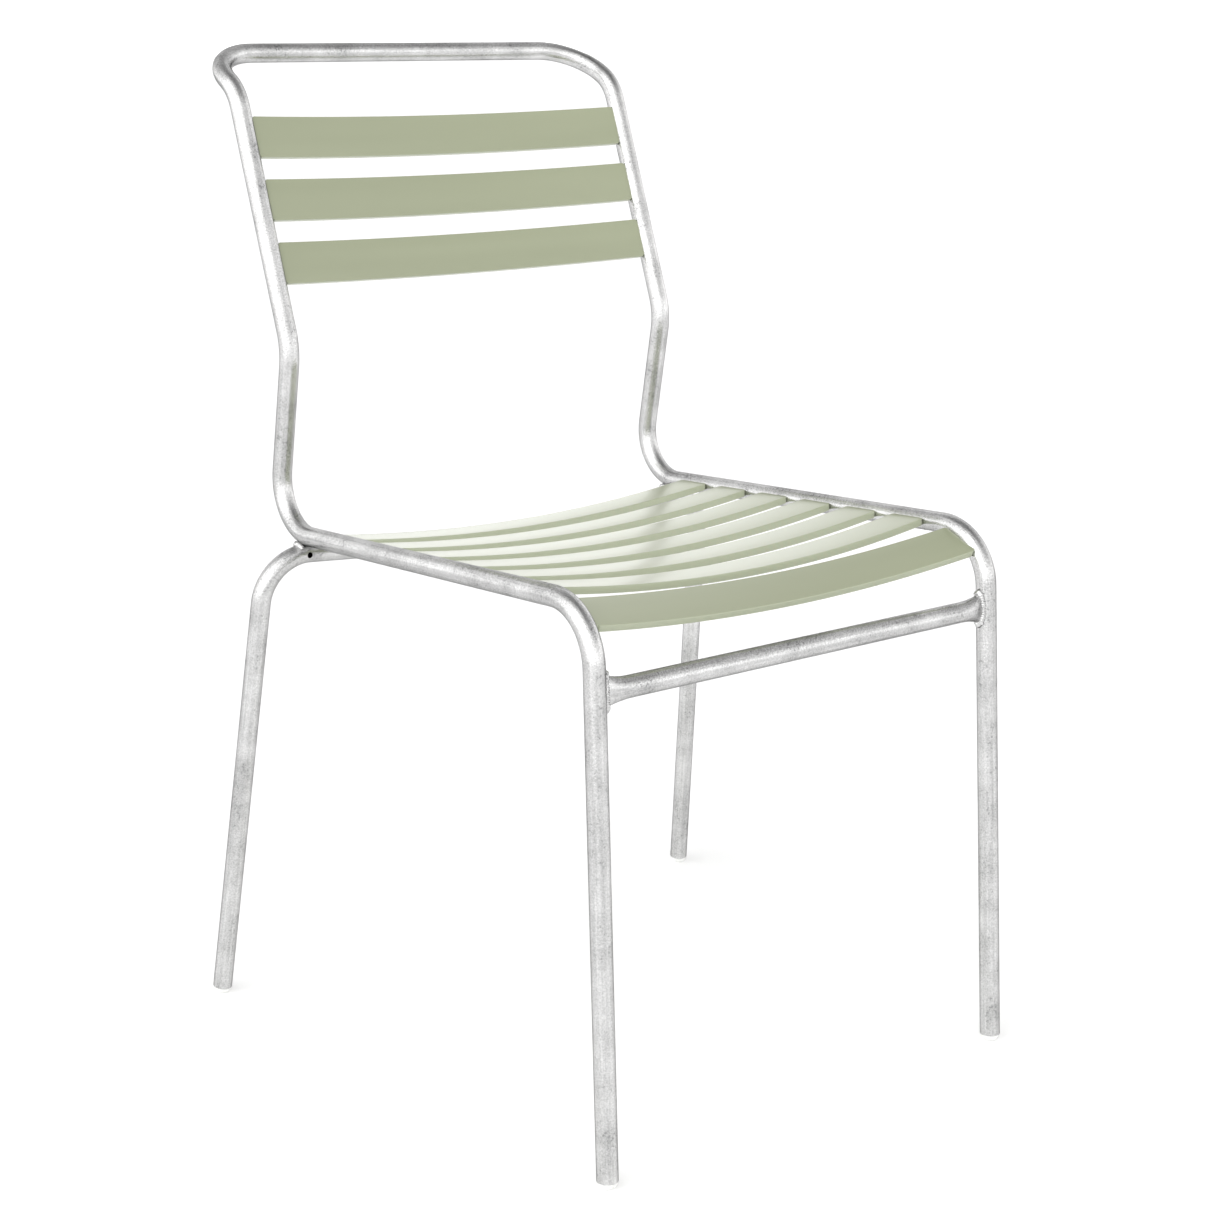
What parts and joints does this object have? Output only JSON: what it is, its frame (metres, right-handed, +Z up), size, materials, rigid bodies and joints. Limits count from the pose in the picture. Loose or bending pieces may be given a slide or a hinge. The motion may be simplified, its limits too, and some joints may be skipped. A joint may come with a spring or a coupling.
{
  "type": "stacking chair",
  "caption": "Outdoor stacking chair: one bent galvanised tube forms front legs, seat rails and back, a rear leg loop is welded on, and flat flexible slats span seat and back.",
  "frame": {"origin": "on the floor, in the middle of the chair's footprint", "axes": "+X towards the right side seen from the front, across the chair; +Y towards its back; +Z up"},
  "size_m": [0.561, 0.6013, 0.8503],
  "materials": {
    "galvanised_steel": "hot-dip galvanised, mottled grey with streaks along the tube",
    "slat_plastic": "glossy, pale sage green",
    "weld_metal": "rough weld beads under the zinc, bright",
    "glide_plastic": "translucent white, smooth"
  },
  "bodies": {
    "root": {"main_frame_tube": "galvanised_steel", "rear_leg_loop": "galvanised_steel", "front_crossbar": "galvanised_steel", "seat_slat_1": "slat_plastic", "seat_slat_2": "slat_plastic", "seat_slat_3": "slat_plastic", "seat_slat_4": "slat_plastic", "seat_slat_5": "slat_plastic", "seat_slat_6": "slat_plastic", "seat_slat_7": "slat_plastic", "back_slat_1": "slat_plastic", "back_slat_2": "slat_plastic", "back_slat_3": "slat_plastic", "crossbar_weld_left": "weld_metal", "crossbar_weld_right": "weld_metal", "rear_weld_left": "weld_metal", "rear_weld_right": "weld_metal", "foot_glide_front_left": "glide_plastic", "foot_glide_front_right": "glide_plastic", "foot_glide_rear_left": "glide_plastic", "foot_glide_rear_right": "glide_plastic"}
  },
  "joints": []
}
